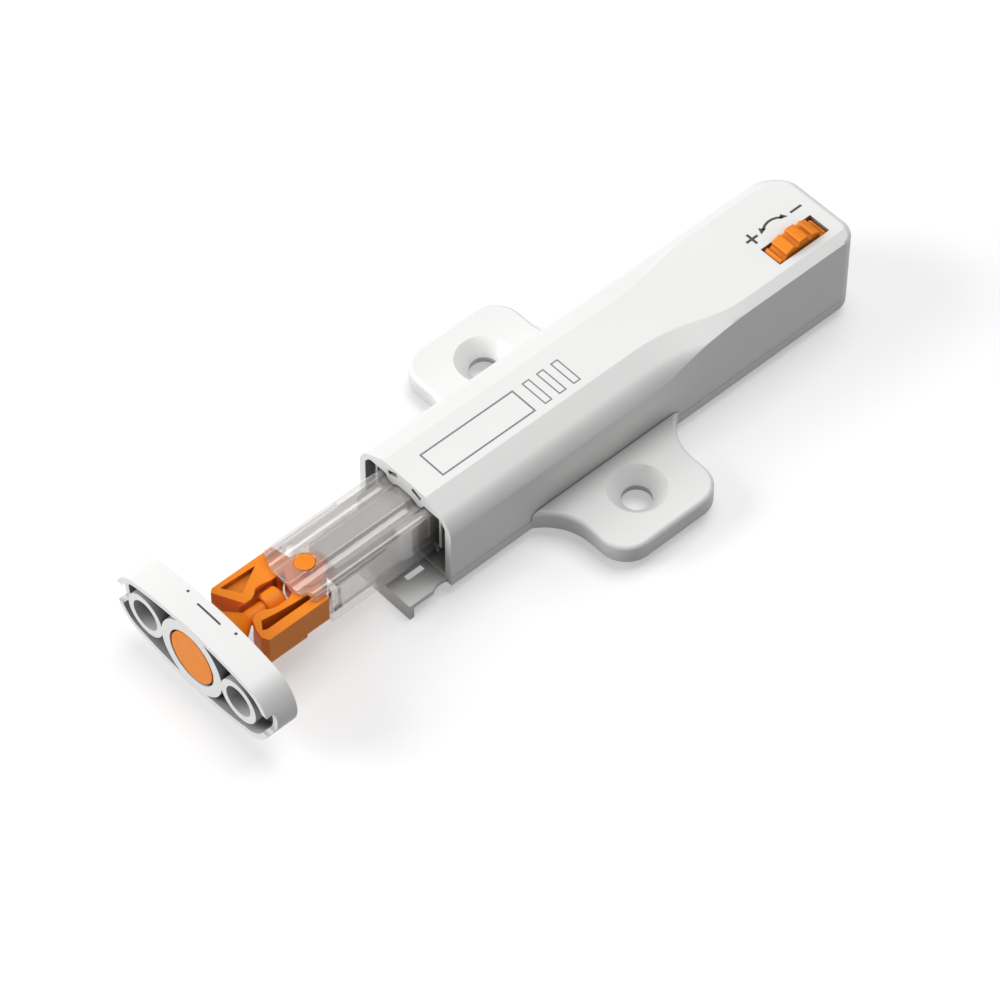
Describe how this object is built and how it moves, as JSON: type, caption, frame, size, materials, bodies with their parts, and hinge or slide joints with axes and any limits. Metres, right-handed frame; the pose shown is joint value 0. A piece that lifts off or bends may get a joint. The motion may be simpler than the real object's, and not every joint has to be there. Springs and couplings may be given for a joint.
{
  "type": "push to open catch",
  "caption": "Furniture push to open catch: white housing on a winged base, clear sliding plunger with gripping jaws, adjusting wheel, and a door strike with a turned stud.",
  "frame": {"origin": "midway between the two screw holes of the wings, on the mounting face", "axes": "+X along the catch from the strike to the rear, +Y across it towards the left wing, +Z out of the surface it is screwed to"},
  "size_m": [0.1174, 0.048, 0.0183],
  "materials": {
    "white_abs": "moulded ABS with a fine satin skin",
    "clear_pc": "clear moulded polycarbonate",
    "pale_pom": "light grey acetal",
    "dark_pom": "grey acetal",
    "orange_pom": "orange moulded acetal",
    "black_rubber": "soft moulded rubber",
    "spring_steel": "bright spring steel"
  },
  "bodies": {
    "base": {"housing": "white_abs", "base_plate": "white_abs", "wheel_axle": "spring_steel", "detent_spring": "spring_steel", "follower_pivot": "spring_steel", "main_spring": "spring_steel"},
    "plunger": {"plunger_sleeve": "clear_pc", "plunger_core": "pale_pom", "cam_block": "dark_pom", "jaw_pin": "orange_pom", "jaw_spring": "spring_steel"},
    "left_jaw": {"jaw_left": "orange_pom"},
    "right_jaw": {"jaw_right": "orange_pom"},
    "strike": {"strike_plate": "white_abs", "strike_stud": "orange_pom"},
    "wheel": {"adjusting_wheel": "orange_pom"},
    "adjuster": {"adjusting_slide": "dark_pom", "end_buffer": "black_rubber", "spring_rod": "spring_steel", "spring_washer": "spring_steel"},
    "follower": {"latch_follower": "spring_steel", "follower_pin": "spring_steel"}
  },
  "joints": [
    {"name": "plunger_slide", "type": "slide", "parent": "base", "child": "plunger", "axis": [1, 0, 0], "range_m": [0, 0.029], "deforming": ["main_spring"]},
    {"name": "jaw_left_hinge", "type": "hinge", "parent": "plunger", "child": "left_jaw", "pos_m": [-0.0474, 0, 0.0083], "axis": [0, 0, 1], "range_deg": [0, 2.8]},
    {"name": "jaw_right_hinge", "type": "hinge", "parent": "plunger", "child": "right_jaw", "pos_m": [-0.0474, 0, 0.0083], "axis": [0, 0, -1], "range_deg": [0, 2.8]},
    {"name": "strike_pull", "type": "slide", "parent": "plunger", "child": "strike", "axis": [-1, 0, 0], "range_m": [0, 0.012]},
    {"name": "wheel_turn", "type": "hinge", "parent": "base", "child": "wheel", "pos_m": [0.04135, -0.0046, 0.0097], "axis": [0, 1, 0], "range_deg": [-25, 25]},
    {"name": "adjuster_slide", "type": "slide", "parent": "base", "child": "adjuster", "axis": [-1, 0, 0], "range_m": [-0.0013, 0.0013]},
    {"name": "follower_swing", "type": "hinge", "parent": "base", "child": "follower", "pos_m": [0.012, 0, 0.002], "axis": [0, 0, -1], "range_deg": [0, 11]}
  ],
  "couplings": [
    {"joint": "jaw_left_hinge", "follows": "plunger_slide", "rad_per_m": 1.68},
    {"joint": "jaw_right_hinge", "follows": "plunger_slide", "rad_per_m": 1.68},
    {"joint": "wheel_turn", "follows": "adjuster_slide", "rad_per_m": 333.33}
  ]
}
